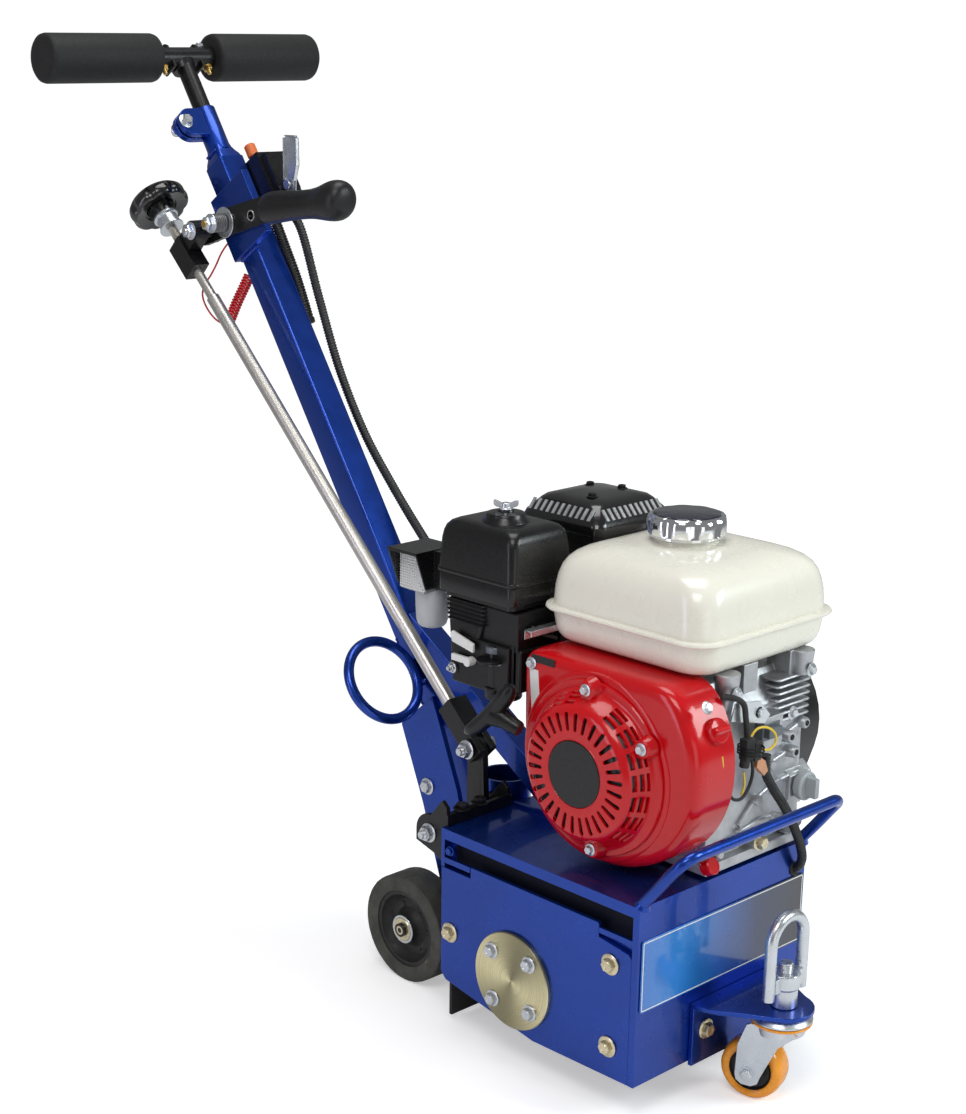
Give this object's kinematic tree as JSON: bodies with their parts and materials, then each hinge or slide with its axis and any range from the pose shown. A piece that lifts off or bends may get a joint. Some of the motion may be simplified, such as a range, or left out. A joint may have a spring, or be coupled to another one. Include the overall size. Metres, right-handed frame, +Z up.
{
  "type": "walk-behind pavement line machine",
  "caption": "Walk-behind petrol pavement machine with a cutting drum, T handle, lift linkage, rear wheels and a swivel front caster.",
  "frame": {"origin": "centre of the bounding box footprint, on the ground", "axes": "+X towards the belt side, +Y towards the operator, +Z up"},
  "size_m": [0.396, 1.0166, 1.0501],
  "materials": {
    "blue_paint": "glossy metallic paint",
    "red_paint": "glossy paint",
    "cream_paint": "glossy paint",
    "black_paint": "semi-gloss paint",
    "black_plastic": "satin",
    "foam": "matte foam",
    "zinc": "bright zinc plate",
    "yellow_zinc": "yellow zinc plate, turned",
    "steel": "satin",
    "tool_steel": "worn",
    "aluminium": "as cast",
    "rubber": "matte",
    "tyre": "worn matt",
    "orange_urethane": "glossy",
    "chrome": "polished",
    "frosted": "frosted",
    "red_cord": "glossy",
    "orange_plastic": "satin",
    "grey_plastic": "satin"
  },
  "bodies": {
    "base": {"housing": "blue_paint", "side_plate": "blue_paint", "front_rail": "blue_paint", "name_plate": "blue_paint", "caster_bracket": "blue_paint", "vacuum_port": "blue_paint", "handle_tube": "blue_paint", "handle_brace": "blue_paint", "tie_ring": "blue_paint", "bearing_cap": "yellow_zinc", "rear_flap": "rubber", "drive_belt": "rubber", "belt_guard": "black_paint", "muffler": "black_paint", "pivot_bracket": "black_paint", "engine_block": "aluminium", "fan_shroud": "red_paint", "recoil_cover": "red_paint", "fuel_tank": "cream_paint", "air_cleaner_base": "black_plastic", "precleaner": "black_plastic", "carburettor": "black_plastic", "front_conduit": "black_plastic", "long_conduit": "black_plastic", "switch_box": "black_plastic", "dust_cup": "frosted", "eye_nut": "zinc", "curly_lanyard": "red_cord"},
    "drum": {"drum_shaft": "steel", "drum_cage": "tool_steel", "cutter_row_1": "tool_steel", "cutter_row_2": "tool_steel", "cutter_row_3": "tool_steel", "drum_pulley": "steel"},
    "crank": {"crankshaft": "steel", "engine_pulley": "steel"},
    "lift": {"lift_axle": "black_paint"},
    "wheel_near": {"hub_near": "black_paint", "tyre_near": "tyre"},
    "wheel_far": {"hub_far": "black_paint", "tyre_far": "tyre"},
    "lever": {"lift_lever": "black_paint", "lever_grip": "black_plastic"},
    "rod": {"rod_clevis": "black_paint", "lift_rod": "steel", "rod_block": "black_paint"},
    "knob": {"depth_knob": "black_plastic"},
    "caster": {"caster_fork": "zinc"},
    "caster_roller": {"caster_wheel": "orange_urethane"},
    "steer": {"steer_stem": "black_paint", "grip_near": "foam", "grip_far": "foam"},
    "tank_cap": {"fuel_cap": "chrome"},
    "filter_cover": {"air_cleaner_cover": "black_plastic"},
    "oil_stick": {"dipstick": "grey_plastic"},
    "starter": {"recoil_grip": "black_plastic"},
    "choke": {"choke_lever": "zinc"},
    "control": {"hand_lever": "zinc"},
    "ignition": {"engine_switch": "red_paint"},
    "button": {"stop_button": "orange_plastic"}
  },
  "joints": [
    {"name": "drum_spin", "type": "hinge", "parent": "base", "child": "drum", "pos_m": [0, -0.2434, 0.0976], "axis": [1, 0, 0], "continuous": true},
    {"name": "crank_spin", "type": "hinge", "parent": "base", "child": "crank", "pos_m": [0, -0.3119, 0.345], "axis": [1, 0, 0], "continuous": true},
    {"name": "lift_pivot", "type": "hinge", "parent": "base", "child": "lift", "pos_m": [-0.078, -0.1064, 0.221], "axis": [1, 0, 0], "range_deg": [0, 18]},
    {"name": "wheel_near_spin", "type": "hinge", "parent": "lift", "child": "wheel_near", "pos_m": [-0.067, -0.0204, 0.064], "axis": [1, 0, 0], "continuous": true},
    {"name": "wheel_far_spin", "type": "hinge", "parent": "lift", "child": "wheel_far", "pos_m": [0.067, -0.0204, 0.064], "axis": [1, 0, 0], "continuous": true},
    {"name": "lever_pivot", "type": "hinge", "parent": "base", "child": "lever", "pos_m": [-0.032, 0.3526, 0.835], "axis": [1, 0, 0], "range_deg": [-36.43, 1]},
    {"name": "rod_pivot", "type": "hinge", "parent": "lever", "child": "rod", "pos_m": [-0.054, 0.3826, 0.825], "axis": [1, 0, 0], "range_deg": [-1, 34.85]},
    {"name": "depth_knob_turn", "type": "hinge", "parent": "rod", "child": "knob", "pos_m": [-0.056, 0.46163, 0.8531], "axis": [0, 0.7165, 0.6976], "continuous": true},
    {"name": "caster_swivel", "type": "hinge", "parent": "base", "child": "caster", "pos_m": [0.018, -0.4764, 0.061], "axis": [0, 0, 1], "continuous": true},
    {"name": "caster_roll", "type": "hinge", "parent": "caster", "child": "caster_roller", "pos_m": [0.01069, -0.45249, 0.033], "axis": [0.9563, 0.2924, 0], "continuous": true},
    {"name": "steer_slide", "type": "slide", "parent": "base", "child": "steer", "axis": [0, 0.5555, 0.8315], "range_m": [0, 0.1]},
    {"name": "tank_cap_lift", "type": "slide", "parent": "base", "child": "tank_cap", "axis": [0, 0, 1], "range_m": [0, 0.06]},
    {"name": "filter_cover_lift", "type": "slide", "parent": "base", "child": "filter_cover", "axis": [0, 0, 1], "range_m": [0, 0.06]},
    {"name": "oil_stick_turn", "type": "hinge", "parent": "base", "child": "oil_stick", "pos_m": [0.112, -0.4314, 0.304], "axis": [0, 1, 0], "continuous": true},
    {"name": "starter_pull", "type": "slide", "parent": "base", "child": "starter", "axis": [-0.2, 0.9151, 0.35], "range_m": [0, 0.25], "stiffness_N_per_m": 20, "springref_m": -0.1},
    {"name": "choke_turn", "type": "hinge", "parent": "base", "child": "choke", "pos_m": [-0.099, -0.1374, 0.4165], "axis": [1, 0, 0], "range_deg": [-20, 20]},
    {"name": "control_turn", "type": "hinge", "parent": "base", "child": "control", "pos_m": [0.034, 0.31293, 0.87809], "axis": [1, 0, 0], "range_deg": [0, 30]},
    {"name": "ignition_turn", "type": "hinge", "parent": "base", "child": "ignition", "pos_m": [-0.056, -0.4324, 0.406], "axis": [0, 0.903, -0.4297], "range_deg": [0, 45]},
    {"name": "button_push", "type": "slide", "parent": "base", "child": "button", "axis": [0, -0.5555, -0.8315], "range_m": [0, 0.003], "stiffness_N_per_m": 600}
  ],
  "couplings": [
    {"joint": "crank_spin", "follows": "drum_spin", "ratio": 1.1656},
    {"joint": "lever_pivot", "follows": "lift_pivot", "ratio": -1.9686},
    {"joint": "rod_pivot", "follows": "lift_pivot", "ratio": 1.8804}
  ]
}
